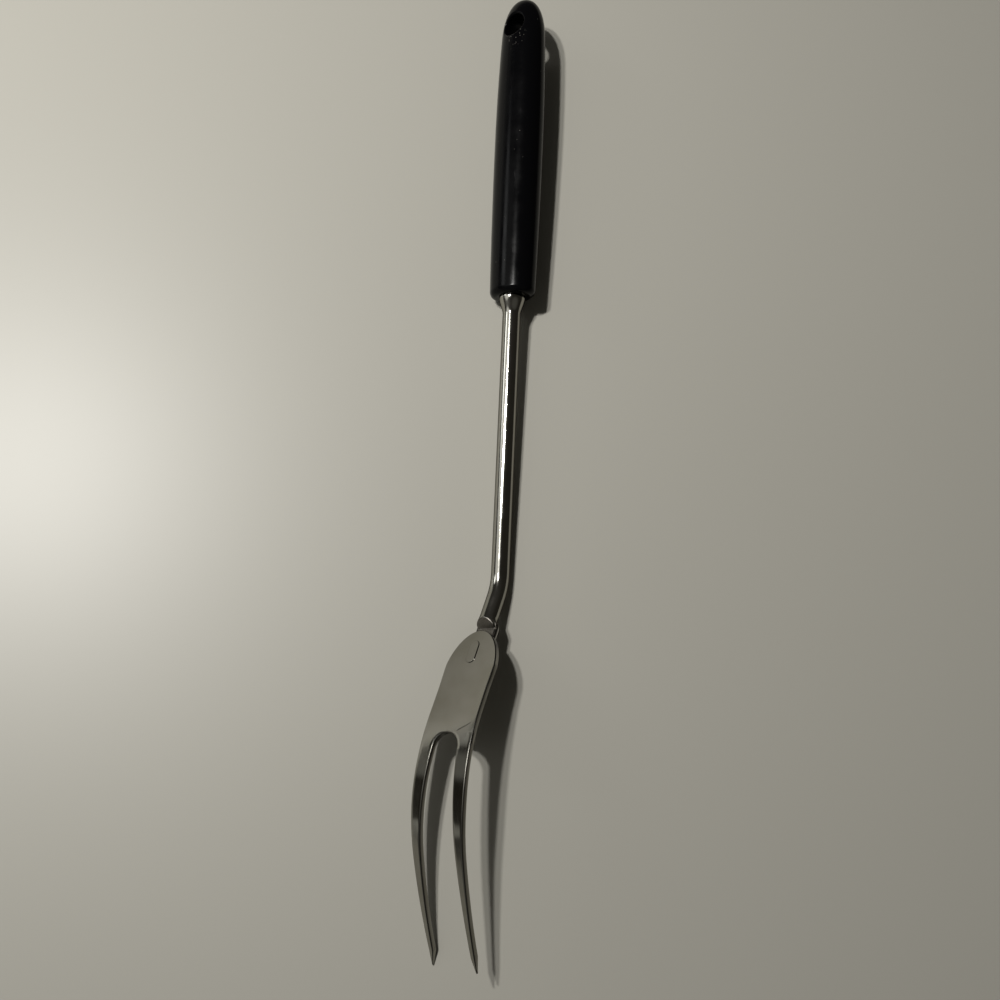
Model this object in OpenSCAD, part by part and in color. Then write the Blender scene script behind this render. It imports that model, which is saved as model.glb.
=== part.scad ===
// Two-tined carving fork, lying on a table with its tines curving down.
// Every piece is drawn straight first: X across the fork, Y towards the handle's end, Z out of the
// upper face, with the middle of the hang hole at the origin. laid() then leans the whole fork over
// on the three points it rests on.

/* [Handle] */
// Length of the handle
handle_l = 111; // [90:0.5:130]
// Greatest width of the handle
handle_w = 18.2; // [15:0.1:24]
// Thickness of the handle as a share of its width
handle_flat = 0.81; // [0.7:0.01:1]
// Width of the handle at its front face
handle_front_w = 16.7; // [14:0.1:20]
// Width that the handle's long taper would reach at its far end
handle_tail_w = 15; // [12:0.1:20]
// Distance from the front face to the widest place
handle_belly = 60; // [40:1:80]
// Length of the rounded far end
handle_cap = 15.8; // [12:0.1:24]
// Rounding of the front rim
handle_rim = 2.2; // [0.5:0.1:3]

/* [Hang hole] */
// Diameter of the hang hole
hole_d = 8.4; // [5:0.1:9]
// Distance from the handle's end to the middle of the hang hole
hole_from_end = 11.4; // [10:0.1:16]
// Rounding of the hole's two mouths
hole_round = 0.9; // [0.3:0.1:1.4]

/* [Shank] */
// Outside diameter of the shank's tube
tube_d = 6; // [5:0.1:7]
// Wall of the tube
tube_wall = 0.8; // [0.5:0.1:1.2]
// Straight length from the handle to the bend
shank_l = 94.1; // [70:0.1:130]
// Angle of the bend
bend_angle = 22.5; // [10:0.5:35]
// Radius of the bend on the tube's middle line
bend_r = 22; // [15:0.5:40]
// Straight length from the bend to where the tube is pressed flat
neck_l = 8.6; // [4:0.1:20]
// Length of the slope where the round tube turns flat
press_l = 2.4; // [2:0.1:6]
// Width of the flat tab
tab_w = 8.8; // [7.5:0.1:10]
// Thickness of the flat tab
tab_t = 1.8; // [1.6:0.1:2.4]
// Length of the flat tab, most of it under the head
tab_l = 13; // [10:0.5:16]
// How far the tab's upper face lies below the tube's middle line
tab_drop = 0.2; // [0:0.1:1]

/* [Collar] */
// Diameter of the collar at the handle
collar_d = 8.9; // [7.5:0.1:11]
// Length of the collar's flare
collar_l = 6.2; // [3:0.1:9]
// Thickness of the collar's lip
collar_lip = 0.7; // [0.4:0.1:1.2]

/* [Tang] */
// Length of the tube inside the handle
tang_l = 66; // [40:1:80]
// Depth of the locking grooves rolled into the tang
groove_depth = 0.4; // [0.2:0.05:0.5]
// Width of a locking groove
groove_w = 3; // [2:0.5:4]
// Distance between the two locking grooves
groove_gap = 18; // [10:1:30]
// Distance from the handle's front face to the first locking groove
groove_from_front = 24; // [15:1:30]
// Clearance between the tang and the handle round it
tang_clear = 0.03; // [0.02:0.01:0.08]
// Length of the plug that closes the tang's inner end
plug_l = 4; // [2:0.5:8]

/* [Fork head] */
// Distance from the foot of the pressed slope to the head's top edge
head_gap = 1.6; // [0.5:0.1:3]
// Length of the head's rounded top
crown_l = 12.2; // [9:0.1:15]
// Width of the head where its rounded top meets the sides at a slight corner
crown_w = 20.6; // [17:0.1:25]
// Length that the top's curve would need to run level with the sides
crown_reach = 15; // [12.5:0.5:20]
// Length over which the sides draw in from that corner to the plate's width
shoulder_l = 7; // [3:0.5:12]
// Width of the head's plate
head_w = 20.1; // [17:0.1:24]
// Width over the tines where they are furthest apart
tine_span = 21.4; // [18:0.1:26]
// Width over the tines at their points
tip_span = 18.3; // [14:0.1:24]
// Length of the head along its curve
head_l = 105.9; // [90:0.5:130]
// Thickness of the sheet
sheet_t = 1.8; // [1.2:0.1:2.5]
// Distance from the head's top to the start of the slot
slot_start = 34.6; // [25:0.1:45]
// Width of the slot at its round end
slot_w = 10.3; // [7:0.1:12]
// Width between the tines near their points
slot_tip_w = 15.4; // [11:0.1:17]
// Length of the slanted cut that gives each tine its point
point_l = 4.6; // [2:0.1:8]
// Width that is left at the very point
point_w = 0.35; // [0.2:0.05:0.8]
// Thickness that is left at the very point, where the underside is ground away
point_t = 0.5; // [0.3:0.1:1.2]
// Distance from the head's top to where it starts to curve
bow_start = 28.2; // [20:0.1:32]
// Radius of the main curve
bow_r = 73; // [55:1:100]
// Length of the main curve
bow_l = 44.4; // [30:0.1:55]
// Radius of the gentle curve near the points
tip_r = 213; // [150:1:400]
// Rounding of the sheet's edges
edge_r = 0.35; // [0.1:0.05:0.6]

/* [Weld] */
// Length of the weld between the tab and the head
weld_l = 6; // [4:0.5:8]
// Width of the weld
weld_w = 2.4; // [1.5:0.1:4]
// Thickness of the weld, half in the tab and half in the head
weld_h = 0.6; // [0.4:0.1:1]
// Length of the low raised oblong over the weld
mark_l = 7.8; // [5:0.5:10]
// Width of the raised oblong
mark_w = 3.7; // [2:0.1:5]
// Height of the raised oblong
mark_h = 0.25; // [0.1:0.05:0.4]
// How far the raised oblong sits off the middle line, to the left
mark_aside = 0.6; // [0:0.1:1]
// Distance from the head's top to the middle of the weld and of the raised oblong
weld_at = 7.5; // [6:0.1:10]

/* [Rest] */
// How far the fork leans over to its left as it lies
lie_roll = 43.9; // [0:0.1:60]
// How far the shank slopes down towards the head as it lies
lie_pitch = 2.73; // [0:0.01:6]

/* [Hidden] */
ring_points = 48;
front_y = hole_from_end - handle_l;
tube_r = tube_d / 2;
bore_r = tube_r - tube_wall;
tang_end_y = front_y + tang_l;
slot_r = slot_w / 2;
slot_round_end = slot_start + slot_r;
bow_end = bow_start + bow_l;
widest_at = bow_start + 29;
narrow_at = bow_start - 4;
gap_ease = 2.35;
span_ease = 1.2;
cap_power = 2.5;
seat_up = sheet_t - tab_drop;
overlap = 0.01;
tuck = 0.5;
bend_slack = 0.01;

// Blends from 0 to 1 with level ends.
function smooth(x) = let (c = min(1, max(0, x))) c * c * (3 - 2 * c);

// Leans the straight fork over into the place where it rests.
module laid() {
    rotate([lie_pitch, 0, 0])
        rotate([0, -lie_roll, 0])
            children();
}

// Joins a list of rings, each with the same number of points, into a closed solid.
module skin(rings) {
    n = len(rings[0]);
    last = (len(rings) - 1) * n;
    polyhedron(
        points = [for (ring = rings) each ring],
        faces = [
            [for (i = [0 : n - 1]) i],
            for (k = [0 : len(rings) - 2], i = [0 : n - 1])
                let (a = k * n + i, b = k * n + (i + 1) % n)
                    each [[a, a + n, b], [b, a + n, b + n]],
            [for (i = [n - 1 : -1 : 0]) last + i]
        ],
        convexity = 6
    );
}

// Half the handle's width at a distance from its front face, without the roundings of its ends.
function handle_half(d) =
    d < handle_belly
        ? handle_w / 2 - (handle_w - handle_front_w) / 2 * pow(1 - d / handle_belly, 2)
        : handle_w / 2 - (handle_w - handle_tail_w) / 2
            * pow((d - handle_belly) / (handle_l - handle_belly), 2);
function cap_share(d) =
    let (x = max(0, d - handle_l + handle_cap) / handle_cap)
        pow(max(0, 1 - pow(x, cap_power)), 1 / cap_power);
function handle_ring(d, inset) =
    let (a = handle_half(d) * cap_share(d), b = a * handle_flat)
        [for (i = [0 : ring_points - 1])
            let (t = -i * 360 / ring_points)
                [(a - inset) * cos(t), front_y + d, (b - inset) * sin(t)]];

// The tang's outline from the handle's front face inwards, wider all round by a clearance.
function tang_outline(clear) =
    let (
        r = tube_r + clear,
        deep = r - groove_depth,
        g1 = groove_from_front,
        g2 = groove_from_front + groove_gap
    )
        [[r, g1], [deep, g1 + groove_w * 0.3], [deep, g1 + groove_w * 0.7], [r, g1 + groove_w],
         [r, g2], [deep, g2 + groove_w * 0.3], [deep, g2 + groove_w * 0.7], [r, g2 + groove_w],
         [r, tang_l + clear], [0, tang_l + clear]];

// The collar's outline: an S-shaped flare that runs up from the tube to a lip against the handle.
function collar_outline() =
    let (rise = collar_d / 2 - tube_r, lip_r = collar_lip / 2, steps = 14) [
        for (k = [steps : -1 : 1])
            [tube_r + rise * (1 - smooth(k / steps)), -lip_r - (collar_l - lip_r) * k / steps],
        for (k = [3 : -1 : 0])
            [collar_d / 2 - lip_r * (1 - sin(k * 30)), -lip_r * (1 - cos(k * 30))]
    ];

// Turns a profile drawn along +Y about the fork's own long axis, starting at the handle's front.
module turned_from_front() {
    translate([0, front_y, 0])
        rotate([-90, 0, 0])
            rotate_extrude($fn = 96)
                children();
}

// One flared mouth of the hang hole, cut with a rounded edge.
module hole_mouth() {
    reach = handle_w;
    seat = handle_half(handle_l - hole_from_end) * cap_share(handle_l - hole_from_end) * handle_flat;
    rotate_extrude($fn = 64)
        difference() {
            translate([0, seat - hole_round])
                square([hole_d / 2 + hole_round, reach]);
            translate([hole_d / 2 + hole_round, seat - hole_round])
                circle(r = hole_round, $fn = 48);
        }
}

module handle() {
    fronts = [for (k = [0 : 5]) let (t = k * 18) [handle_rim * (1 - sin(t)), handle_rim * (1 - cos(t))]];
    body = [for (k = [1 : 26]) handle_rim + (handle_l - handle_cap - handle_rim) * k / 26];
    caps = [for (k = [1 : 15]) handle_l - handle_cap * (1 - sin(k * 6))];
    color([0.05, 0.05, 0.055])
        laid()
            difference() {
                skin([
                    for (f = fronts) handle_ring(f[1], f[0]),
                    for (d = body) handle_ring(d, 0),
                    for (d = caps) handle_ring(min(d, handle_l - 0.02), 0)
                ]);
                turned_from_front()
                    polygon(concat([[0, -overlap], [tube_r + tang_clear, -overlap]], tang_outline(tang_clear)));
                translate([0, 0, -handle_w])
                    cylinder(d = hole_d, h = 2 * handle_w, $fn = 64);
                hole_mouth();
                mirror([0, 0, 1]) hole_mouth();
            }
}

// Follows the tube's middle line from the end of the straight shank round the bend.
module after_bend() {
    translate([0, front_y - shank_l, 0])
        translate([0, -bend_r * sin(bend_angle), bend_r * (1 - cos(bend_angle))])
            rotate([-bend_angle, 0, 0])
                children();
}

// The bend as a round bar, a hair slimmer than r, that reaches a little way into both straight bars.
module bend_bar(r) {
    reach = tuck / bend_r * 180 / PI;
    translate([0, front_y - shank_l, bend_r])
        rotate([0, 90, 0])
            rotate([0, 0, -bend_angle - reach])
                rotate_extrude(angle = bend_angle + 2 * reach, $fn = 128)
                    translate([bend_r, 0])
                        circle(r = r - bend_slack, $fn = 64);
}

// The straight end past the bend as a round bar.
module neck_bar(r, length) {
    after_bend()
        rotate([90, 0, 0])
            cylinder(r = r, h = length, $fn = 64);
}

// Extrudes an outline drawn in Y and Z across the whole width of the neck.
module across_neck() {
    translate([-tab_w, 0, 0])
        rotate([90, 0, 90])
            linear_extrude(2 * tab_w)
                children();
}

// What the press takes off the round end: a steep slope above and a slighter one below.
module press_cuts() {
    foot = -neck_l - press_l;
    rise = tube_r + tab_drop;
    lift = tube_r - tab_drop - tab_t;
    across_neck() {
        polygon([[foot - 1, -tab_drop], [foot, -tab_drop], [foot + 2 * press_l, 2 * rise - tab_drop],
                 [foot - 1, 2 * rise - tab_drop]]);
        polygon([[foot - 1, -tab_drop - tab_t], [foot, -tab_drop - tab_t],
                 [foot + 2 * press_l, -tab_drop - tab_t - 2 * lift], [foot - 1, -tab_drop - tab_t - 2 * lift]]);
    }
}

// The flat tab, with round sides, which spreads from the tube's width to its own.
module tab() {
    foot = -neck_l - press_l;
    core = tab_w / 2 - tab_t / 2;
    spread = [for (k = [0 : 6]) [tube_r - tuck + (tab_w / 2 + overlap - tube_r + tuck) * smooth(k / 6),
                                 -neck_l - press_l * k / 6]];
    intersection() {
        translate([0, -neck_l, -tab_drop - tab_t / 2])
            rotate([90, 0, 0])
                linear_extrude(press_l + tab_l) {
                    for (side = [-1, 1]) translate([side * core, 0]) circle(d = tab_t, $fn = 32);
                    square([2 * core, tab_t], center = true);
                }
        translate([0, 0, -tube_d])
            linear_extrude(2 * tube_d)
                polygon([
                    for (q = spread) q,
                    [tab_w, foot], [tab_w, foot - tab_l - 1], [-tab_w, foot - tab_l - 1], [-tab_w, foot],
                    for (k = [6 : -1 : 0]) [-spread[k][0], spread[k][1]]
                ]);
    }
}

// A flat solid with round ends, lying along the head and centred on its own middle plane.
module oblong(length, width, height) {
    translate([0, 0, -height / 2])
        linear_extrude(height) {
            for (side = [-1, 1])
                translate([0, side * (length - width) / 2]) circle(d = width, $fn = 48);
            square([width, length - width], center = true);
        }
}

module shank_tube() {
    color([0.74, 0.74, 0.72])
        laid()
            difference() {
                union() {
                    turned_from_front()
                        polygon(concat([[0, -shank_l], [tube_r, -shank_l]], collar_outline(),
                                       [[tube_r, 0]], tang_outline(0)));
                    bend_bar(tube_r);
                    difference() {
                        neck_bar(tube_r, neck_l + press_l);
                        after_bend() press_cuts();
                    }
                    after_bend() tab();
                }
                turned_from_front()
                    polygon([[0, -shank_l], [bore_r, -shank_l], [bore_r, tang_l + 1], [0, tang_l + 1]]);
                bend_bar(bore_r);
                neck_bar(bore_r, neck_l - tuck);
                after_bend()
                    translate([0, -head_run - weld_at, -tab_drop])
                        oblong(weld_l, weld_w, weld_h);
            }
}

// A short turned plug that keeps the tang's inner end closed while the handle is moulded round it.
module tang_plug() {
    color([0.55, 0.55, 0.53])
        laid()
            translate([0, tang_end_y, 0])
                rotate([90, 0, 0])
                    cylinder(r = bore_r - tang_clear, h = plug_l, $fn = 64);
}

// Half the head's width at a distance s along its curve.
function crown_share(s) = sqrt(max(0, 1 - pow(1 - s / crown_reach, 2)));
function half_span(s) =
    s < crown_l ? crown_w / 2 * crown_share(s) / crown_share(crown_l)
    : s < widest_at ? head_w / 2 + (tine_span - head_w) / 2 * smooth((s - narrow_at) / (widest_at - narrow_at))
        + (crown_w - head_w) / 2 * max(0, 1 - (s - crown_l) / shoulder_l)
    : tine_span / 2 - (tine_span - tip_span) / 2 * pow((s - widest_at) / (head_l - widest_at), span_ease);
// Half the gap between the tines, before the slanted cut of the points.
function half_slot(s) =
    s < slot_start ? 0
    : s < slot_round_end ? sqrt(max(0, slot_r * slot_r - pow(slot_round_end - s, 2)))
    : slot_r + (slot_tip_w - slot_w) / 2
        * (1 - pow(1 - (s - slot_round_end) / (head_l - slot_round_end), gap_ease));
function half_gap(s) =
    let (cut = s - head_l + point_l, from = half_slot(head_l - point_l), to = tip_span / 2 - point_w)
        cut <= 0 ? half_slot(s) : from + (to - from) * cut / point_l;

// Place on the head's upper face: distance forward, height and slope, from the head's top edge.
function bow(s) =
    s <= bow_start ? [s * cos(bend_angle), s * sin(bend_angle), bend_angle]
    : s <= bow_end ? arc_from(bow(bow_start), bow_r, s - bow_start)
    : arc_from(bow(bow_end), tip_r, s - bow_end);
function arc_from(start, r, run) =
    let (slope = start[2] - run / r * 180 / PI)
        [start[0] + r * (sin(start[2]) - sin(slope)), start[1] + r * (cos(slope) - cos(start[2])), slope];

// Where the head's top edge lies: just past the foot of the pressed slope, one sheet above the tab.
head_run = neck_l + press_l + head_gap;
head_y = front_y - shank_l - bend_r * sin(bend_angle) - head_run * cos(bend_angle)
    + seat_up * sin(bend_angle);
head_z = bend_r * (1 - cos(bend_angle)) + head_run * sin(bend_angle) + seat_up * cos(bend_angle);

// The sheet's thickness at s, which falls away to the points.
function thick(s) = sheet_t - (sheet_t - point_t) * max(0, s - head_l + point_l) / point_l;

// Section of one half of the head at s, with its four edges rounded.
function head_ring(s) =
    let (
        place = bow(s),
        outer = half_span(s),
        inner = half_gap(s),
        low = -thick(s),
        r = min(edge_r, (outer - inner) / 2.6, -low / 2.6),
        ri = min(r, inner),
        corners = [[inner + ri, -r, ri, 90], [outer - r, -r, r, 0],
                   [outer - r, low + r, r, -90], [inner + ri, low + r, ri, 180]]
    )
        [for (c = corners, k = [0 : 2])
            let (t = c[3] + 90 - k * 45, x = c[0] + c[2] * cos(t), m = c[1] + r * sin(t))
                [x, head_y - place[0] + m * sin(place[2]), head_z + place[1] + m * cos(place[2])]];

head_stations = concat(
    [for (k = [0 : 14]) crown_l * (1 - cos(6 + k * 6))],
    [for (k = [1 : 3]) crown_l + shoulder_l * k / 3],
    [for (k = [1 : 3]) crown_l + shoulder_l + (bow_start - crown_l - shoulder_l) * k / 3],
    [for (k = [1 : 3]) bow_start + (slot_start - bow_start) * k / 3],
    [for (k = [1 : 12]) slot_start + slot_r * (1 - cos(k * 7.5))],
    [for (k = [1 : 26]) slot_round_end + (head_l - point_l - slot_round_end) * k / 26],
    [for (k = [1 : 3]) head_l - point_l + point_l * k / 3]
);

module fork_head() {
    rings = [for (k = [len(head_stations) - 1 : -1 : 0]) head_ring(head_stations[k])];
    color([0.70, 0.69, 0.66])
        laid()
            difference() {
                union() {
                    skin(rings);
                    mirror([1, 0, 0]) skin(rings);
                    after_bend()
                        translate([-mark_aside, -head_run - weld_at, seat_up])
                            oblong(mark_l, mark_w, 2 * mark_h);
                }
                after_bend()
                    translate([0, -head_run - weld_at, -tab_drop])
                        oblong(weld_l, weld_w, weld_h);
            }
}

module weld_nugget() {
    color([0.60, 0.58, 0.55])
        laid()
            after_bend()
                translate([0, -head_run - weld_at, -tab_drop])
                    oblong(weld_l, weld_w, weld_h);
}

handle();
shank_tube();
tang_plug();
fork_head();
weld_nugget();
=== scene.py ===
import math

import bmesh
import bpy
from mathutils import Matrix, Vector


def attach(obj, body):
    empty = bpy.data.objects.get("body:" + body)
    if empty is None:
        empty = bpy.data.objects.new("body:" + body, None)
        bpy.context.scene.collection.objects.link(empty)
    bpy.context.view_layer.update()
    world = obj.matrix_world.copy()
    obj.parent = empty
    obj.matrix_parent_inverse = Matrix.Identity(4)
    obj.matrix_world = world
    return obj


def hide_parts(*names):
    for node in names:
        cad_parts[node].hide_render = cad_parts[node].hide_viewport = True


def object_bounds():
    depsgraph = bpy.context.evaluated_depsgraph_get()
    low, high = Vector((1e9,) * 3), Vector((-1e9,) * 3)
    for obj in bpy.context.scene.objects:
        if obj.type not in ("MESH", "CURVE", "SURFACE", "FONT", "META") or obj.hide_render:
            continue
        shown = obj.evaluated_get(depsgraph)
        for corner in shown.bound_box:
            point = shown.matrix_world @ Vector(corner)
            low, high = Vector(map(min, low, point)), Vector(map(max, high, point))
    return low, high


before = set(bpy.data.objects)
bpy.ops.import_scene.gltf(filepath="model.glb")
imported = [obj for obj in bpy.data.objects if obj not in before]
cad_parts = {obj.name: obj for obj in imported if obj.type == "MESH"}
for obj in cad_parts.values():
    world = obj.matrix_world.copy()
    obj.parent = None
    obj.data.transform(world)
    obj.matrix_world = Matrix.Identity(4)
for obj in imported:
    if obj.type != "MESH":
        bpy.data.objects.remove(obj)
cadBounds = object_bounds()
print("frame loaded:", sorted(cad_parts))

# Pieces are modelled straight and in millimetres: X across the fork, Y towards the handle's end, Z out of
# the upper face, the hang hole's middle at the origin. layDown() leans them over and turns them to metres.
lie = {"roll": 43.9, "pitch": 2.73}
place = {"handleLength": 111.0, "holeFromEnd": 11.4, "shankLength": 94.1, "bendAngle": 22.5, "bendRadius": 22.0,
         "neckLength": 8.6, "pressLength": 2.4, "tabDrop": 0.2, "tabThick": 1.8, "sheetThick": 1.8, "headGap": 1.6}
frontY = place["holeFromEnd"] - place["handleLength"]
bendY = frontY - place["shankLength"]


def smooth(x):
    c = min(1.0, max(0.0, x))
    return c * c * (3 - 2 * c)


# Selection and edit mode

def clearPick():
    if bpy.context.object and bpy.context.object.mode != "OBJECT":
        bpy.ops.object.mode_set(mode="OBJECT")
    bpy.ops.object.select_all(action="DESELECT")


def takeUp(piece):
    clearPick()
    bpy.context.view_layer.objects.active = piece
    piece.select_set(True)


def openMesh(piece):
    takeUp(piece)
    bpy.context.tool_settings.mesh_select_mode = (True, False, False)
    bpy.ops.object.mode_set(mode="EDIT")


def pickPoints(piece, test):
    bpy.context.tool_settings.mesh_select_mode = (True, False, False)
    bpy.ops.object.mode_set(mode="OBJECT")
    mesh = piece.data
    for face in mesh.polygons:
        face.select = False
    for edge in mesh.edges:
        edge.select = False
    for point in mesh.vertices:
        point.select = bool(test(point.co))
    bpy.ops.object.mode_set(mode="EDIT")


def pickFaces(piece, test):
    bpy.ops.object.mode_set(mode="OBJECT")
    mesh = piece.data
    for point in mesh.vertices:
        point.select = False
    for edge in mesh.edges:
        edge.select = False
    for face in mesh.polygons:
        face.select = bool(test(face))
    bpy.context.tool_settings.mesh_select_mode = (False, False, True)
    bpy.ops.object.mode_set(mode="EDIT")


def closeMesh(merge=0.0005):
    bpy.context.tool_settings.mesh_select_mode = (True, False, False)
    bpy.ops.mesh.select_all(action="SELECT")
    bpy.ops.mesh.remove_doubles(threshold=merge)
    bpy.ops.mesh.normals_make_consistent(inside=False)
    bpy.ops.object.mode_set(mode="OBJECT")


def applyAll(piece):
    takeUp(piece)
    for name in [m.name for m in piece.modifiers]:
        bpy.ops.object.modifier_apply(modifier=name)


def cutWith(piece, cutter, operation="DIFFERENCE"):
    takeUp(piece)
    mod = piece.modifiers.new("cut", "BOOLEAN")
    mod.operation = operation
    mod.solver = "EXACT"
    mod.object = cutter
    applyAll(piece)
    bpy.data.objects.remove(cutter)


def layDown(piece):
    takeUp(piece)
    piece.rotation_mode = "XYZ"
    turn = Matrix.Rotation(math.radians(lie["pitch"]), 4, "X") @ Matrix.Rotation(math.radians(-lie["roll"]), 4, "Y")
    piece.matrix_world = turn @ Matrix.Scale(0.001, 4)
    bpy.ops.object.transform_apply(location=True, rotation=True, scale=True)


def shade(piece, degrees=30):
    takeUp(piece)
    bpy.ops.object.shade_smooth_by_angle(angle=math.radians(degrees))
    even = piece.modifiers.new("evenShading", "WEIGHTED_NORMAL")
    even.keep_sharp = True
    even.weight = 50
    applyAll(piece)


# A ring of points that is drawn out along Y, one station after the other

def startRing(name, points, y, halfX, halfZ):
    clearPick()
    bpy.ops.mesh.primitive_circle_add(vertices=points, radius=1.0, fill_type="NOTHING",
                                      rotation=(math.pi / 2, 0, 0))
    ring = bpy.context.object
    ring.name = name
    bpy.ops.object.transform_apply(location=True, rotation=True, scale=True)
    openMesh(ring)
    bpy.ops.mesh.select_all(action="SELECT")
    bpy.ops.transform.resize(value=(halfX, 1, halfZ), center_override=(0, 0, 0))
    bpy.ops.transform.translate(value=(0, y, 0))
    return ring, [y, halfX, halfZ]


def drawRing(now, y, halfX, halfZ=None):
    halfZ = halfX if halfZ is None else halfZ
    bpy.ops.mesh.extrude_region_move(TRANSFORM_OT_translate={"value": (0, y - now[0], 0)})
    bpy.ops.transform.resize(value=(halfX / now[1], 1, halfZ / now[2]), center_override=(0, y, 0))
    now[:] = y, halfX, halfZ


# The tang, shared by the handle's bore and the shank

tang = {"radius": 3.0, "length": 66.0, "grooveDepth": 0.4, "grooveWidth": 3.0, "grooveGap": 18.0,
        "grooveFromFront": 24.0, "clearance": 0.03}


def tangStations(slack):
    r = tang["radius"] + slack
    low = r - tang["grooveDepth"]
    stations = [(tang["length"] + slack, r)]
    for start in (tang["grooveFromFront"] + tang["grooveGap"], tang["grooveFromFront"]):
        w = tang["grooveWidth"]
        stations += [(start + w, r), (start + w * 0.7, low), (start + w * 0.3, low), (start, r)]
    return stations


# Handle

grip = {"width": 18.2, "flat": 0.81, "frontWidth": 16.7, "tailWidth": 15.0, "belly": 60.0, "cap": 15.8,
        "capPower": 2.5, "rim": 2.2, "points": 128, "holeRadius": 4.2, "holeRound": 0.9}


def gripHalf(d):
    w = grip["width"] / 2
    if d < grip["belly"]:
        return w - (grip["width"] - grip["frontWidth"]) / 2 * (1 - d / grip["belly"]) ** 2
    past = (d - grip["belly"]) / (place["handleLength"] - grip["belly"])
    return w - (grip["width"] - grip["tailWidth"]) / 2 * past ** 2


def gripTop(x, y):
    d = y - frontY
    share = 1.0
    past = d - place["handleLength"] + grip["cap"]
    if past > 0:
        share = max(0.0, 1 - (past / grip["cap"]) ** grip["capPower"]) ** (1 / grip["capPower"])
    return grip["flat"] * math.sqrt(max(0.0, (gripHalf(d) * share) ** 2 - x * x))


def mouthPoint(angle, side, t):
    wide, narrow = grip["holeRadius"] + grip["holeRound"], grip["holeRadius"]
    cx, sy = math.cos(angle), math.sin(angle)
    top = gripTop(wide * cx, wide * sy)
    slope = (gripTop((wide + 0.01) * cx, (wide + 0.01) * sy) - gripTop((wide - 0.01) * cx, (wide - 0.01) * sy)) / 0.02
    corner = top - slope * (wide - narrow)
    low = corner - grip["holeRound"] * 1.1
    weights = ((1 - t) ** 2, 2 * t * (1 - t) * 0.75, t * t)
    total = sum(weights)
    r = (weights[0] * wide + weights[1] * narrow + weights[2] * narrow) / total
    z = (weights[0] * top + weights[1] * corner + weights[2] * low) / total
    return Vector((r * cx, r * sy, z * side))


def makeHandle():
    length = place["handleLength"]
    stations = tangStations(tang["clearance"])
    piece, now = startRing("handleMoulding", grip["points"], frontY + stations[0][0], stations[0][1], stations[0][1])
    bpy.ops.mesh.edge_face_add()
    pickPoints(piece, lambda c: True)
    bpy.ops.mesh.delete(type="ONLY_FACE")
    pickPoints(piece, lambda c: True)
    for d, r in stations[1:]:
        drawRing(now, frontY + d, r)
    drawRing(now, frontY, tang["radius"] + tang["clearance"])
    for k in range(13):
        t = math.radians(k * 7.5)
        inset, d = grip["rim"] * (1 - math.sin(t)), grip["rim"] * (1 - math.cos(t))
        half = gripHalf(d)
        drawRing(now, frontY + d, half - inset, half * grip["flat"] - inset)
    body = 48
    reach = length - grip["cap"] - grip["rim"]
    for k in range(1, body + 1):
        d = grip["rim"] + reach * k / body
        half = gripHalf(d)
        drawRing(now, frontY + d, half, half * grip["flat"])
    power = 2 / grip["capPower"]
    for angle in [3 * k for k in range(1, 29)] + [85.5, 87, 88.2, 89.2, 89.7]:
        t = math.radians(angle)
        d = min(length - grip["cap"] * (1 - math.sin(t) ** power), length - 0.02)
        half = gripHalf(d) * math.cos(t) ** power
        drawRing(now, frontY + d, half, half * grip["flat"])
    bpy.ops.mesh.merge(type="CENTER")
    deep = frontY + stations[0][0]
    pickPoints(piece, lambda c: abs(c.y - deep) < 0.001 and math.hypot(c.x, c.z) < stations[0][1] + 0.01)
    bpy.ops.mesh.edge_face_add()
    closeMesh()
    # the hang hole: cut wide, then both mouths roll in along a quarter round and a straight wall joins them
    wide = grip["holeRadius"] + grip["holeRound"]
    clearPick()
    bpy.ops.mesh.primitive_cylinder_add(vertices=120, radius=wide, depth=60)
    cutWith(piece, bpy.context.object)
    openMesh(piece)
    atRadius = lambda c, r: abs(math.hypot(c.x, c.y) - r) < 0.02
    points = piece.data.vertices
    pickFaces(piece, lambda f: abs(f.normal.z) < 0.2 and all(atRadius(points[i].co, wide) for i in f.vertices))
    bpy.ops.mesh.delete(type="FACE")
    pickPoints(piece, lambda c: atRadius(c, wide))
    bpy.ops.mesh.remove_doubles(threshold=0.03)
    bpy.context.tool_settings.mesh_select_mode = (False, True, False)
    bpy.ops.mesh.select_all(action="DESELECT")
    bpy.ops.mesh.select_non_manifold(extend=False, use_wire=False, use_boundary=True, use_multi_face=False,
                                     use_non_contiguous=False, use_verts=False)
    steps = 8
    for k in range(1, steps + 1):
        bpy.ops.mesh.extrude_edges_move()
        bpy.ops.object.mode_set(mode="OBJECT")
        for v in piece.data.vertices:
            if v.select:
                v.co = mouthPoint(math.atan2(v.co.y, v.co.x), math.copysign(1, v.co.z), k / steps)
        bpy.ops.object.mode_set(mode="EDIT")
    bpy.ops.mesh.bridge_edge_loops()
    closeMesh(0.0002)
    layDown(piece)
    shade(piece, 35)
    return piece


# Shank: tang, collar, tube, bend and pressed end, one tube

shank = {"radius": 3.0, "wall": 0.8, "points": 96, "collarDiameter": 8.9, "collarLength": 6.2, "collarLip": 0.7,
         "tabWidth": 8.8, "tabLength": 13.0, "shoulder": 0.45, "foot": 0.2, "sideAngle": 22.5,
         "flareFrom": 7.0}


def neckFrame():
    a = math.radians(place["bendAngle"])
    r = place["bendRadius"]
    origin = Vector((0, bendY - r * math.sin(a), r * (1 - math.cos(a))))
    return origin, Vector((0, -math.cos(a), math.sin(a))), Vector((0, math.sin(a), math.cos(a)))


def softMin(a, b, r):
    h = max(r - abs(a - b), 0) / r
    return min(a, b) - h * h * r / 4


def softMax(a, b, r):
    return -softMin(-a, -b, r)


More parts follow.
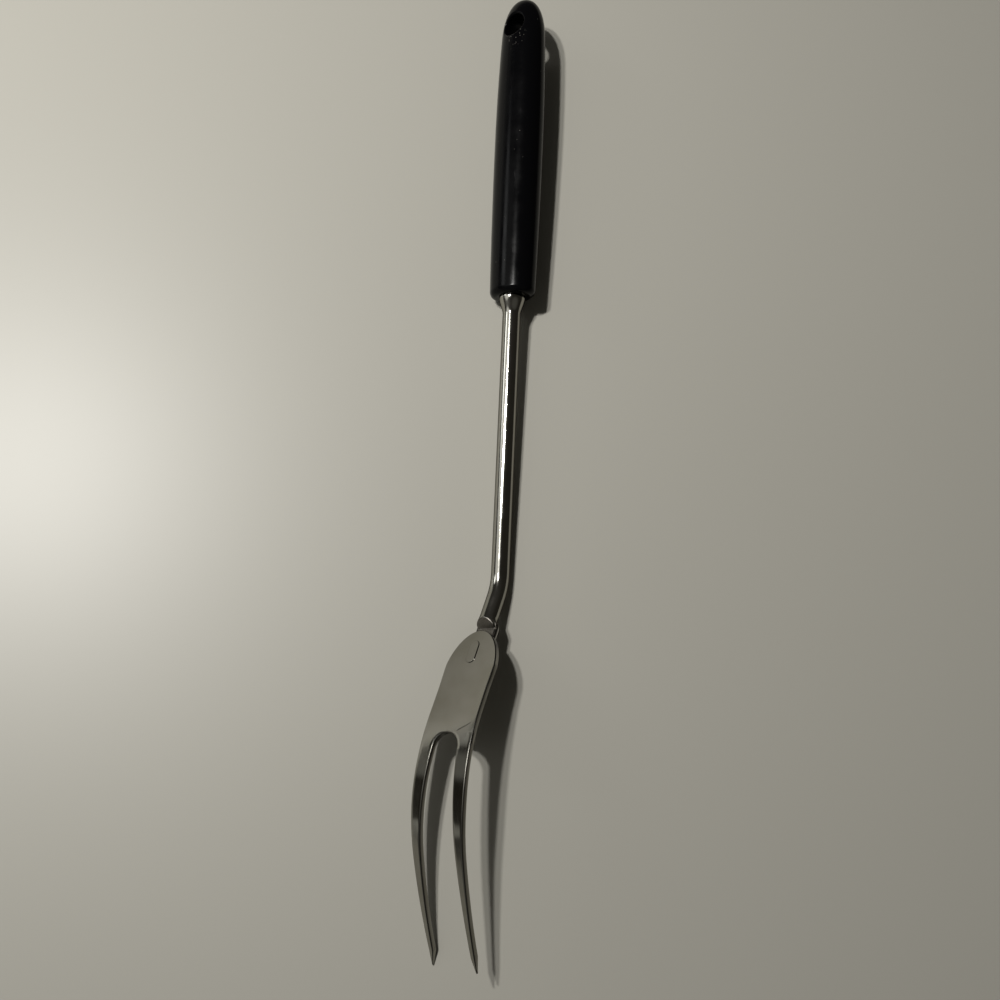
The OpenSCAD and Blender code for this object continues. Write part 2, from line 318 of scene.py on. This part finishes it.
def pressedPoint(x, z, t):
    r = shank["radius"]
    u = (t - place["neckLength"]) / place["pressLength"]
    top = softMax(r - (r + place["tabDrop"]) * u, -place["tabDrop"], shank["foot"])
    floorZ = -place["tabDrop"] - place["tabThick"]
    bottom = -r + (floorZ + r) * smooth(u)
    share = smooth((t - shank["flareFrom"]) / (place["neckLength"] + place["pressLength"] - shank["flareFrom"]))
    angle = math.degrees(math.atan2(z, abs(x)))
    side = shank["sideAngle"]
    halfThick = place["tabThick"] / 2
    core = shank["tabWidth"] / 2 - halfThick
    middle = -place["tabDrop"] - halfThick
    if angle > side:
        flatX, flatZ = abs(x) / (r * math.cos(math.radians(side))) * core, middle + halfThick
    elif angle < -side:
        flatX, flatZ = abs(x) / (r * math.cos(math.radians(side))) * core, middle - halfThick
    else:
        turn = math.radians(angle / side * 90)
        flatX, flatZ = core + halfThick * math.cos(turn), middle + halfThick * math.sin(turn)
    newX = abs(x) + (flatX - abs(x)) * share
    newZ = z + (flatZ - z) * share if angle <= side else z
    newZ = softMin(newZ, top, shank["shoulder"]) if u < 1.3 else min(newZ, top)
    newZ = max(newZ, bottom)
    return math.copysign(newX, x), newZ


def makeShank():
    r, bore = shank["radius"], shank["radius"] - shank["wall"]
    stations = tangStations(0)
    piece, now = startRing("shankTube", shank["points"], frontY + stations[0][0], r, r)
    for d, radius in stations[1:]:
        drawRing(now, frontY + d, radius)
    drawRing(now, frontY + 0.01, r)
    lip = shank["collarLip"] / 2
    rise = shank["collarDiameter"] / 2 - r
    drawRing(now, frontY, r + rise - lip)
    for k in range(1, 7):
        t = math.radians(k * 15)
        drawRing(now, frontY - lip * (1 - math.cos(t)), r + rise - lip * (1 - math.sin(t)))
    steps = 24
    for k in range(1, steps + 1):
        drawRing(now, frontY - lip - (shank["collarLength"] - lip) * k / steps, r + rise * (1 - smooth(k / steps)))
    straight = 24
    begin = now[0]
    for k in range(1, straight + 1):
        drawRing(now, begin + (bendY - begin) * k / straight, r)
    center = (0, bendY, place["bendRadius"])
    bpy.ops.mesh.spin(steps=24, angle=math.radians(place["bendAngle"]), center=center, axis=(1, 0, 0))
    origin, along, up = neckFrame()
    t = 0.0
    fine = [0.5 + k * 1.0 for k in range(6)] + [6 + k * 0.25 for k in range(8)] + [8.0 + k * 0.1 for k in range(36)]
    fine += [11.8, 12.6, 14, 17, 20, 23.8, 24.0]
    for target in fine:
        bpy.ops.mesh.extrude_region_move(TRANSFORM_OT_translate={"value": tuple(along * (target - t))})
        t = target
    bpy.ops.mesh.edge_face_add()
    # the bore, drawn back from the tang's open end
    pickPoints(piece, lambda c: abs(c.y - (frontY + tang["length"])) < 0.001)
    now = [frontY + tang["length"], r, r]
    drawRing(now, now[0] - 0.0001, bore)
    for k in range(1, 17):
        drawRing(now, frontY + tang["length"] + (bendY - frontY - tang["length"]) * k / 16, bore)
    bpy.ops.mesh.spin(steps=16, angle=math.radians(place["bendAngle"]), center=center, axis=(1, 0, 0))
    bpy.ops.mesh.extrude_region_move(TRANSFORM_OT_translate={"value": tuple(along * (place["neckLength"] - 0.8))})
    bpy.ops.mesh.edge_face_add()
    closeMesh(0.0001)
    # the press squeezes the outside of the neck's end
    for point in piece.data.vertices:
        rel = point.co - origin
        t, z = rel.dot(along), rel.dot(up)
        if t > min(shank["flareFrom"], place["neckLength"] - 0.75) and math.hypot(point.co.x, z) > bore + 0.1:
            x, z = pressedPoint(point.co.x, z, t)
            point.co = origin + along * t + up * z + Vector((x, 0, 0))
    layDown(piece)
    shade(piece, 35)
    return piece


# Fork head: modelled flat, s along it from the top edge, then bowed

head = {"crown": 12.2, "crownWidth": 20.6, "crownReach": 15.0, "shoulder": 7.0, "width": 20.1, "span": 21.4,
        "tipSpan": 18.3, "length": 105.9, "slotStart": 34.6, "slotWidth": 10.3, "slotTipWidth": 15.4,
        "pointLength": 4.6, "pointWidth": 0.35, "pointThick": 0.5, "bowStart": 28.2,
        "bowRadius": 73.0, "bowLength": 44.4, "tipRadius": 213.0, "edge": 0.35, "spanEase": 1.2, "gapEase": 2.35,
        "markLength": 7.8, "markWidth": 3.7, "markHeight": 0.25, "markEdge": 0.16, "markAside": 0.6, "markAt": 7.5}
widestAt = head["bowStart"] + 29
narrowAt = head["bowStart"] - 4
slotRadius = head["slotWidth"] / 2
slotRoundEnd = head["slotStart"] + slotRadius


def crownShare(s):
    return math.sqrt(max(0.0, 1 - (1 - s / head["crownReach"]) ** 2))


def headOuter(s):
    if s < head["crown"]:
        return head["crownWidth"] / 2 * crownShare(s) / crownShare(head["crown"])
    if s < widestAt:
        corner = (head["crownWidth"] - head["width"]) / 2 * max(0.0, 1 - (s - head["crown"]) / head["shoulder"])
        spread = (head["span"] - head["width"]) / 2 * smooth((s - narrowAt) / (widestAt - narrowAt))
        return head["width"] / 2 + spread + corner
    past = (s - widestAt) / (head["length"] - widestAt)
    return head["span"] / 2 - (head["span"] - head["tipSpan"]) / 2 * past ** head["spanEase"]


def slotHalf(s):
    if s <= head["slotStart"]:
        return 0.0
    if s < slotRoundEnd:
        return math.sqrt(max(0.0, slotRadius ** 2 - (slotRoundEnd - s) ** 2))
    run = (s - slotRoundEnd) / (head["length"] - slotRoundEnd)
    return slotRadius + (head["slotTipWidth"] - head["slotWidth"]) / 2 * (1 - (1 - run) ** head["gapEase"])


def headInner(s):
    cut = s - head["length"] + head["pointLength"]
    if cut <= 0:
        return slotHalf(s)
    start = slotHalf(head["length"] - head["pointLength"])
    end = head["tipSpan"] / 2 - head["pointWidth"]
    return start + (end - start) * cut / head["pointLength"]


def arcFrom(start, radius, run):
    slope = start[2] - run / radius
    return (start[0] + radius * (math.sin(start[2]) - math.sin(slope)),
            start[1] + radius * (math.cos(slope) - math.cos(start[2])), slope)


def bowAt(s):
    a = math.radians(place["bendAngle"])
    first = min(s, head["bowStart"])
    spot = (first * math.cos(a), first * math.sin(a), a)
    if s > head["bowStart"]:
        spot = arcFrom(spot, head["bowRadius"], min(s - head["bowStart"], head["bowLength"]))
    if s > head["bowStart"] + head["bowLength"]:
        spot = arcFrom(spot, head["tipRadius"], s - head["bowStart"] - head["bowLength"])
    return spot


def headRows():
    rows = [head["crown"] * (1 - math.cos(math.radians(3 + 3 * k))) for k in range(30)]
    rows += [head["crown"] + head["shoulder"] * k / 3 for k in range(1, 4)]
    flatRun = head["bowStart"] - head["crown"] - head["shoulder"]
    rows += [head["bowStart"] - flatRun + flatRun * k / 4 for k in range(1, 5)]
    rows += [head["bowStart"] + (head["slotStart"] - head["bowStart"]) * k / 5 for k in range(1, 6)]
    rows += [head["slotStart"] + slotRadius * (1 - math.cos(math.radians(5 * k))) for k in range(1, 19)]
    end = head["length"] - head["pointLength"]
    rows += [slotRoundEnd + (end - slotRoundEnd) * k / 44 for k in range(1, 45)]
    rows += [end + head["pointLength"] * k / 6 for k in range(1, 7)]
    return rows


def makeHead():
    rows = headRows()
    across = 4
    clearPick()
    bpy.ops.mesh.primitive_grid_add(x_subdivisions=across, y_subdivisions=len(rows) - 1, size=2)
    piece = bpy.context.object
    piece.name = "forkHead"
    for point in piece.data.vertices:
        column = (point.co.x + 1) / 2
        s = rows[round((point.co.y + 1) / 2 * (len(rows) - 1))]
        inner, outer = headInner(s), headOuter(s)
        point.co = (inner + (outer - inner) * column, -s, 0)
    mirror = piece.modifiers.new("otherHalf", "MIRROR")
    mirror.use_axis = (True, False, False)
    mirror.use_mirror_merge = True
    mirror.merge_threshold = 0.0005
    applyAll(piece)
    openMesh(piece)
    closeMesh(0.0005)
    mesh = piece.data
    if sum(f.normal.z for f in mesh.polygons) < 0:
        openMesh(piece)
        bpy.ops.mesh.select_all(action="SELECT")
        bpy.ops.mesh.flip_normals()
        bpy.ops.object.mode_set(mode="OBJECT")
    sheet = piece.modifiers.new("thickness", "SOLIDIFY")
    sheet.thickness = place["sheetThick"]
    sheet.offset = -1
    applyAll(piece)
    bm = bmesh.new()
    bm.from_mesh(mesh)
    weights = bm.edges.layers.float.get("bevel_weight_edge") or bm.edges.layers.float.new("bevel_weight_edge")
    for edge in bm.edges:
        a, b = edge.verts
        level = abs(a.co.z - b.co.z) < 0.001
        if level and len(edge.link_faces) == 2 and edge.calc_face_angle() > 1:
            s = -(a.co.y + b.co.y) / 2
            room = (headOuter(s) - headInner(s)) / 2.6
            edge[weights] = min(1.0, max(0.05, room / head["edge"]))
    bm.to_mesh(mesh)
    bm.free()
    rounding = piece.modifiers.new("rounded", "BEVEL")
    rounding.limit_method = "WEIGHT"
    rounding.width = head["edge"]
    rounding.segments = 4
    rounding.use_clamp_overlap = False
    applyAll(piece)
    # the low raised oblong
    half = head["markWidth"] / 2
    clearPick()
    bpy.ops.mesh.primitive_cylinder_add(vertices=64, radius=half, depth=1.0,
                                        location=(-head["markAside"], -head["markAt"], head["markHeight"] - 0.5))
    pad = bpy.context.object
    bpy.ops.object.transform_apply(location=True, rotation=True, scale=True)
    stretch = (head["markLength"] - head["markWidth"]) / 2
    openMesh(pad)
    for side in (1, -1):
        pickPoints(pad, lambda c: (c.y + head["markAt"]) * side > 0.0001)
        bpy.ops.transform.translate(value=(0, side * stretch, 0))
    top = head["markHeight"]
    points = pad.data.vertices
    pickFaces(pad, lambda f: all(abs(points[i].co.z - top) < 0.001 for i in f.vertices))
    bpy.ops.mesh.bevel(offset=head["markEdge"], segments=4, affect="EDGES")
    bpy.ops.object.mode_set(mode="OBJECT")
    cutWith(piece, pad, "UNION")
    openMesh(piece)
    closeMesh(0.0002)
    # bow
    headTop = neckFrame()
    origin, along, up = headTop
    run = place["neckLength"] + place["pressLength"] + place["headGap"]
    seat = origin + along * run + up * (place["sheetThick"] - place["tabDrop"])
    pointStart = head["length"] - head["pointLength"]
    for point in piece.data.vertices:
        forward, height, slope = bowAt(-point.co.y)
        # the underside is ground away towards the points
        ground = max(0.0, -point.co.y - pointStart) / head["pointLength"] * (1 - head["pointThick"] / place["sheetThick"])
        n = point.co.z * (1 - ground) if point.co.z < 0 else point.co.z
        point.co = (point.co.x, seat.y - forward + n * math.sin(slope), seat.z + height + n * math.cos(slope))
    layDown(piece)
    shade(piece, 35)
    return piece


# Materials: small helpers, then one function for each finish

def newMaterial(name, color, metallic, roughness):
    mat = bpy.data.materials.new(name)
    mat.use_nodes = True
    shader = mat.node_tree.nodes["Principled BSDF"]
    shader.inputs["Base Color"].default_value = (*color, 1)
    shader.inputs["Metallic"].default_value = metallic
    shader.inputs["Roughness"].default_value = roughness
    return mat, mat.node_tree, shader


def addNode(tree, kind, settings=None, **inputs):
    node = tree.nodes.new(kind)
    for name, value in (settings or {}).items():
        setattr(node, name, value)
    for name, value in inputs.items():
        socket = node.inputs[int(name[2:])] if name.startswith("at") else node.inputs[name]
        if isinstance(value, bpy.types.NodeSocket):
            tree.links.new(value, socket)
        else:
            socket.default_value = value
    return node


def turned(tree, stretch, rotation=(0, 0, 0)):
    coords = addNode(tree, "ShaderNodeTexCoord")
    place = addNode(tree, "ShaderNodeMapping", {"vector_type": "TEXTURE"}, Vector=coords.outputs["Object"],
                    Rotation=rotation, Scale=[1 / v for v in stretch])
    return place.outputs["Vector"]


def cloud(tree, vector, scale, detail=3.0, rough=0.5):
    return addNode(tree, "ShaderNodeTexNoise", Vector=vector, Scale=scale, Detail=detail,
                   Roughness=rough).outputs["Fac"]


def span(tree, value, low, high, toLow, toHigh):
    node = addNode(tree, "ShaderNodeMapRange", Value=value)
    for name, number in (("From Min", low), ("From Max", high), ("To Min", toLow), ("To Max", toHigh)):
        node.inputs[name].default_value = number
    return node.outputs["Result"]


def maths(tree, operation, a, b=0.0):
    return addNode(tree, "ShaderNodeMath", {"operation": operation}, at0=a, at1=b).outputs["Value"]


def blend(tree, share, colorA, colorB):
    node = addNode(tree, "ShaderNodeMix", {"data_type": "RGBA"})
    for socket, value in ((node.inputs["Factor"], share), (node.inputs[6], colorA), (node.inputs[7], colorB)):
        if isinstance(value, bpy.types.NodeSocket):
            tree.links.new(value, socket)
        else:
            socket.default_value = value if isinstance(value, float) else (*value, 1)
    return node.outputs[2]


def bumped(tree, shader, layers):
    normal = None
    for height, distance, strength in layers:
        node = addNode(tree, "ShaderNodeBump", Height=height, Distance=distance, Strength=strength)
        if normal:
            tree.links.new(normal, node.inputs["Normal"])
        normal = node.outputs["Normal"]
    tree.links.new(normal, shader.inputs["Normal"])


layTurn = (math.radians(lie["pitch"]), math.radians(-lie["roll"]), 0)


def makePlastic():
    mat, tree, shader = newMaterial("blackPlastic", (0.0015, 0.0015, 0.0018), 0, 0.15)
    shader.inputs["Specular IOR Level"].default_value = 0.09
    along = turned(tree, (1, 1, 1), layTurn)
    smudge = cloud(tree, along, 110, 4, 0.6)
    strokes = cloud(tree, turned(tree, (1, 0.05, 1), layTurn), 2600, 3, 0.6)
    grain = cloud(tree, along, 900, 2)
    rubbed = span(tree, smudge, 0.35, 0.7, 0.12, 0.23)
    lines = span(tree, strokes, 0.62, 0.75, 0, 0.16)
    tree.links.new(maths(tree, "ADD", rubbed, lines), shader.inputs["Roughness"])
    dust = addNode(tree, "ShaderNodeTexVoronoi", {"feature": "F1"}, Vector=along, Scale=520, Randomness=1)
    specks = span(tree, dust.outputs["Distance"], 0.05, 0.11, 1, 0)
    sparse = span(tree, cloud(tree, along, 330, 1), 0.6, 0.68, 0, 1)
    # painted glints: light flecks put into the colour below the hang hole, on top of the sparse dust specks
    coords = addNode(tree, "ShaderNodeTexCoord").outputs["Object"]
    apart = addNode(tree, "ShaderNodeVectorMath", {"operation": "DISTANCE"}, at0=coords, at1=(-0.0035, -0.0058, 0.0068))
    glintPatch = span(tree, apart.outputs["Value"], 0.002, 0.0045, 1, 0)
    glintCells = addNode(tree, "ShaderNodeTexVoronoi", {"feature": "F1"}, Vector=along, Scale=1150, Randomness=1)
    glintFleck = maths(tree, "MULTIPLY", span(tree, glintCells.outputs["Distance"], 0.16, 0.26, 1, 0), glintPatch)
    dustAndGlints = maths(tree, "MAXIMUM", maths(tree, "MULTIPLY", specks, sparse), glintFleck)
    tree.links.new(blend(tree, dustAndGlints, (0.0015, 0.0015, 0.0018), (0.09, 0.085, 0.075)), shader.inputs["Base Color"])
    bumped(tree, shader, [(smudge, 0.00006, 0.25), (grain, 0.000012, 0.35), (strokes, 0.000004, 0.5)])
    return mat


def makeTubeSteel():
    mat, tree, shader = newMaterial("tubeSteel", (0.5, 0.49, 0.45), 1, 0.12)
    shader.inputs["Specular Tint"].default_value = (0.01, 0.01, 0.01, 1)
    along = turned(tree, (1, 1, 1), layTurn)
    waves = cloud(tree, turned(tree, (1, 0.3, 1), layTurn), 260, 2)
    rings = cloud(tree, turned(tree, (0.08, 1, 0.08), layTurn), 5200, 2, 0.6)
    haze = cloud(tree, along, 140, 4, 0.6)
    origin, heading, up = neckFrame()
    lay = Matrix.Rotation(math.radians(lie["pitch"]), 3, "X") @ Matrix.Rotation(math.radians(-lie["roll"]), 3, "Y")
    slopeDir = lay @ heading
    start = (lay @ origin * 0.001).dot(slopeDir)
    coords = addNode(tree, "ShaderNodeTexCoord").outputs["Object"]
    run = addNode(tree, "ShaderNodeVectorMath", {"operation": "DOT_PRODUCT"}, at0=coords, at1=slopeDir)
    pressed = span(tree, run.outputs["Value"], start + 0.0083, start + 0.0088, 0, 1)
    grit = cloud(tree, along, 2400, 4, 0.7)
    rough = maths(tree, "ADD", span(tree, haze, 0.3, 0.7, 0.07, 0.15), maths(tree, "MULTIPLY", pressed, 0.3))
    tree.links.new(rough, shader.inputs["Roughness"])
    worn = span(tree, grit, 0.35, 0.65, 0.0, 1.0)
    aside = addNode(tree, "ShaderNodeVectorMath", {"operation": "DOT_PRODUCT"}, at0=coords, at1=lay @ Vector((1, 0, 0)))
    above = addNode(tree, "ShaderNodeVectorMath", {"operation": "DOT_PRODUCT"}, at0=coords, at1=lay @ up)
    middle = (lay @ origin * 0.001).dot(lay @ up) - (place["tabDrop"] + place["tabThick"] / 2) * 0.001
    outer = span(tree, maths(tree, "ABSOLUTE", aside.outputs["Value"]), 0.0034, 0.0037, 0, 1)
    upper = span(tree, above.outputs["Value"], middle + 0.0002, middle + 0.0005, 0, 1)
    late = maths(tree, "MULTIPLY", span(tree, run.outputs["Value"], start + 0.0092, start + 0.0098, 0, 1),
                 span(tree, run.outputs["Value"], start + 0.0152, start + 0.0165, 1, 0))
    # painted shade: a near-black band on the upper outer side of the pressed tab, where the gap beside it lies in shade
    foldShade = maths(tree, "MULTIPLY", maths(tree, "MULTIPLY", outer, upper), late)
    plain = blend(tree, haze, (0.4, 0.39, 0.355), (0.5, 0.49, 0.45))
    matt = blend(tree, worn, (0.13, 0.12, 0.105), (0.26, 0.245, 0.225))
    # painted highlight: a bright band on the lower outer side of the pressed tab, where its rounded edge catches the
    # light
    lower = span(tree, above.outputs["Value"], middle - 0.0002, middle + 0.0001, 1, 0)
    beside = maths(tree, "MULTIPLY", span(tree, run.outputs["Value"], start + 0.0086, start + 0.0092, 0, 1),
                   span(tree, run.outputs["Value"], start + 0.0155, start + 0.0175, 1, 0))
    rimHighlight = maths(tree, "MULTIPLY", maths(tree, "MULTIPLY", outer, lower), beside)
    steel = blend(tree, rimHighlight, blend(tree, pressed, plain, matt), (0.85, 0.83, 0.78))
    tree.links.new(blend(tree, foldShade, steel, (0.02, 0.018, 0.015)), shader.inputs["Base Color"])
    bumped(tree, shader, [(waves, 0.00002, 0.6), (rings, 0.0000015, 0.5),
                          (maths(tree, "MULTIPLY", grit, pressed), 0.00006, 0.8)])
    return mat


def facePoint(s, aside):
    origin, along, up = neckFrame()
    run = place["neckLength"] + place["pressLength"] + place["headGap"]
    seat = origin + along * run + up * (place["sheetThick"] - place["tabDrop"])
    forward, height, slope = bowAt(s)
    return Vector((aside, seat.y - forward, seat.z + height))


def makeHeadSteel():
    mat, tree, shader = newMaterial("headSteel", (0.34, 0.33, 0.29), 1, 0.1)
    along = turned(tree, (1, 1, 1), layTurn)
    haze = cloud(tree, along, 120, 4, 0.55)
    hairs = cloud(tree, turned(tree, (1, 0.04, 1), layTurn), 4200, 3, 0.6)
    cross = cloud(tree, turned(tree, (0.05, 1, 0.05), layTurn), 3600, 3, 0.6)
    rough = span(tree, haze, 0.3, 0.7, 0.06, 0.11)
    marks = span(tree, maths(tree, "MAXIMUM", hairs, cross), 0.66, 0.8, 0, 0.12)
    coords = addNode(tree, "ShaderNodeTexCoord")
    lay = Matrix.Rotation(math.radians(lie["pitch"]), 3, "X") @ Matrix.Rotation(math.radians(-lie["roll"]), 3, "Y")
    facing = addNode(tree, "ShaderNodeVectorMath", {"operation": "DOT_PRODUCT"}, at0=coords.outputs["Normal"],
                     at1=lay @ Vector((1, 0, 0)))
    sideways = maths(tree, "ABSOLUTE", facing.outputs["Value"])
    rounded = maths(tree, "MULTIPLY", span(tree, sideways, 0.08, 0.3, 0, 1), span(tree, sideways, 0.85, 0.98, 1, 0))
    rough = maths(tree, "ADD", rough, maths(tree, "MULTIPLY", rounded, 0.17))
    tree.links.new(maths(tree, "ADD", rough, marks), shader.inputs["Roughness"])
    stain = cloud(tree, along, 60, 3, 0.6)
    sheet = blend(tree, span(tree, stain, 0.35, 0.65, 0.0, 1.0), (0.31, 0.3, 0.26), (0.38, 0.37, 0.34))
    # painted shade: a dark line along a shallow groove (a crease) from the slot's end to the edge
    begin, end = lay @ facePoint(34.3, 3.3) * 0.001, lay @ facePoint(31.3, 8.8) * 0.001
    way = (end - begin).normalized()
    offset = addNode(tree, "ShaderNodeVectorMath", {"operation": "SUBTRACT"}, at0=coords.outputs["Object"], at1=begin)
    gone = addNode(tree, "ShaderNodeVectorMath", {"operation": "DOT_PRODUCT"}, at0=offset.outputs["Vector"], at1=way)
    onLine = addNode(tree, "ShaderNodeVectorMath", {"operation": "SCALE"}, at0=way, Scale=gone.outputs["Value"])
    beside = addNode(tree, "ShaderNodeVectorMath", {"operation": "DISTANCE"}, at0=offset.outputs["Vector"],
                     at1=onLine.outputs["Vector"])
    wavy = maths(tree, "ADD", beside.outputs["Value"], maths(tree, "MULTIPLY", cloud(tree, along, 900, 2), 0.0003))
    ends = maths(tree, "MULTIPLY", span(tree, gone.outputs["Value"], 0, 0.0008, 0, 1),
                 span(tree, gone.outputs["Value"], (end - begin).length - 0.0012, (end - begin).length, 1, 0))
    creaseLine = maths(tree, "MULTIPLY", span(tree, wavy, 0.00022, 0.00042, 1, 0), ends)
    creaseShaded = blend(tree, creaseLine, sheet, (0.13, 0.125, 0.11))
    # painted shade: the rounded edges get a darker colour, which dims their highlights
    tree.links.new(blend(tree, rounded, creaseShaded, (0.075, 0.072, 0.064)), shader.inputs["Base Color"])
    bumped(tree, shader, [(haze, 0.00001, 0.5), (hairs, 0.0000012, 0.6), (cross, 0.0000008, 0.6),
                          (maths(tree, "SUBTRACT", 1.0, creaseLine), 0.00003, 0.4)])
    return mat


def makeHiddenSteel():
    mat, tree, shader = newMaterial("plainSteel", (0.5, 0.49, 0.47), 1, 0.4)
    turns = cloud(tree, turned(tree, (0.1, 1, 0.1), layTurn), 3000, 3, 0.6)
    tree.links.new(span(tree, turns, 0.3, 0.7, 0.3, 0.5), shader.inputs["Roughness"])
    bumped(tree, shader, [(turns, 0.000004, 0.6)])
    return mat


handle = makeHandle()
print("handle", len(handle.data.polygons))
tube = makeShank()
print("shank", len(tube.data.polygons))
forkHead = makeHead()
print("head", len(forkHead.data.polygons))
def dress(piece, mat):
    piece.data.materials.clear()
    piece.data.materials.append(mat)


for piece, mat, node, slot in ((handle, makePlastic(), "handle", "handle_plastic"),
                               (tube, makeTubeSteel(), "shank_tube", "shank_steel"),
                               (forkHead, makeHeadSteel(), "fork_head", "head_steel")):
    dress(piece, mat)
    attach(piece, "root")
    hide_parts(node)
hiddenSteel = makeHiddenSteel()
for node in ("tang_plug", "weld_nugget"):
    dress(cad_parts[node], hiddenSteel)
print("materials done")

# Floor

stage = {"floorColor": (0.34, 0.33, 0.295), "floorRough": 0.38, "lampPower": 2.35, "lampSize": 0.055, "lampSpread": 100}
clearPick()
bpy.ops.mesh.primitive_plane_add(size=8, location=(0, -0.15, cadBounds[0][2]))
floor = bpy.context.object
floor.name = "floor"
floorMat, floorTree, floorShader = newMaterial("paleFloor", stage["floorColor"], 0, stage["floorRough"])
floorShader.inputs["Specular IOR Level"].default_value = 0.28
dress(floor, floorMat)

# Two small ceiling lamps, high up on the left, and a dim room with a few brighter places

aim = Vector((-0.2, 0.0, 0))
for name, spot in (("lampNear", (-0.45, 0.11, 1.0)), ("lampFar", (-0.55, 0.05, 1.0))):
    data = bpy.data.lights.new(name, "AREA")
    data.shape = "DISK"
    data.size = stage["lampSize"]
    data.energy = stage["lampPower"]
    data.color = (1, 0.985, 0.95)
    data.spread = math.radians(stage["lampSpread"])
    lamp = bpy.data.objects.new(name, data)
    bpy.context.scene.collection.objects.link(lamp)
    lamp.location = spot
    lamp.rotation_euler = (aim - lamp.location).to_track_quat("-Z", "Y").to_euler()

# Each place: azimuth from +Y (left is negative), height, full and fading radius in degrees, color
places = [(-69, 21, 2.5, 9, (2.9, 2.95, 2.9)), (-70, 62, 4, 14, (0.9, 0.89, 0.85)),
          (-84, 38, 8, 24, (0.8, 0.79, 0.75)), (-140, 20, 12, 45, (0.16, 0.16, 0.15)),
          (-56, 2, 4, 13, (0.25, 0.25, 0.22)), (-66, 1, 1.5, 4.5, (0.3, 0.3, 0.28)),
          (-77, 3, 3, 6.5, (0.16, 0.16, 0.15)), (-101, -1, 2.6, 3.8, (0.35, 0.35, 0.32)),
          (150, 45, 10, 45, (0.06, 0.06, 0.055)), (0, 30, 10, 60, (0.02, 0.02, 0.02))]
base = (0.024, 0.022, 0.018)
world = bpy.data.worlds.new("studio")
bpy.context.scene.world = world
world.use_nodes = True
tree = world.node_tree
coords = addNode(tree, "ShaderNodeTexCoord").outputs["Generated"]
total = None
for azimuth, height, full, fade, color in places:
    a, h = math.radians(azimuth), math.radians(height)
    toward = (math.sin(a) * math.cos(h), math.cos(a) * math.cos(h), math.sin(h))
    near = addNode(tree, "ShaderNodeVectorMath", {"operation": "DOT_PRODUCT"}, at0=coords, at1=toward)
    share = addNode(tree, "ShaderNodeMapRange", {"interpolation_type": "SMOOTHSTEP"}, Value=near.outputs["Value"])
    share.inputs["From Min"].default_value = math.cos(math.radians(fade))
    share.inputs["From Max"].default_value = math.cos(math.radians(full))
    glow = addNode(tree, "ShaderNodeVectorMath", {"operation": "SCALE"}, at0=color, Scale=share.outputs["Result"])
    total = glow.outputs["Vector"] if total is None else addNode(
        tree, "ShaderNodeVectorMath", {"operation": "ADD"}, at0=total, at1=glow.outputs["Vector"]).outputs["Vector"]
total = addNode(tree, "ShaderNodeVectorMath", {"operation": "ADD"}, at0=total, at1=base).outputs["Vector"]
tree.links.new(total, tree.nodes["Background"].inputs["Color"])

# Camera at the photograph's angle

cameraData = bpy.data.cameras.new("camera")
cameraData.lens = 45
cameraData.sensor_width = 36
camera = bpy.data.objects.new("camera", cameraData)
bpy.context.scene.collection.objects.link(camera)
camera.location = (-0.01733, -0.26894, 0.38934)
camera.rotation_euler = [math.radians(v) for v in (13.9342, -2.9102, 2.3305)]
bpy.context.scene.camera = camera
bpy.context.scene.view_settings.view_transform = "Standard"
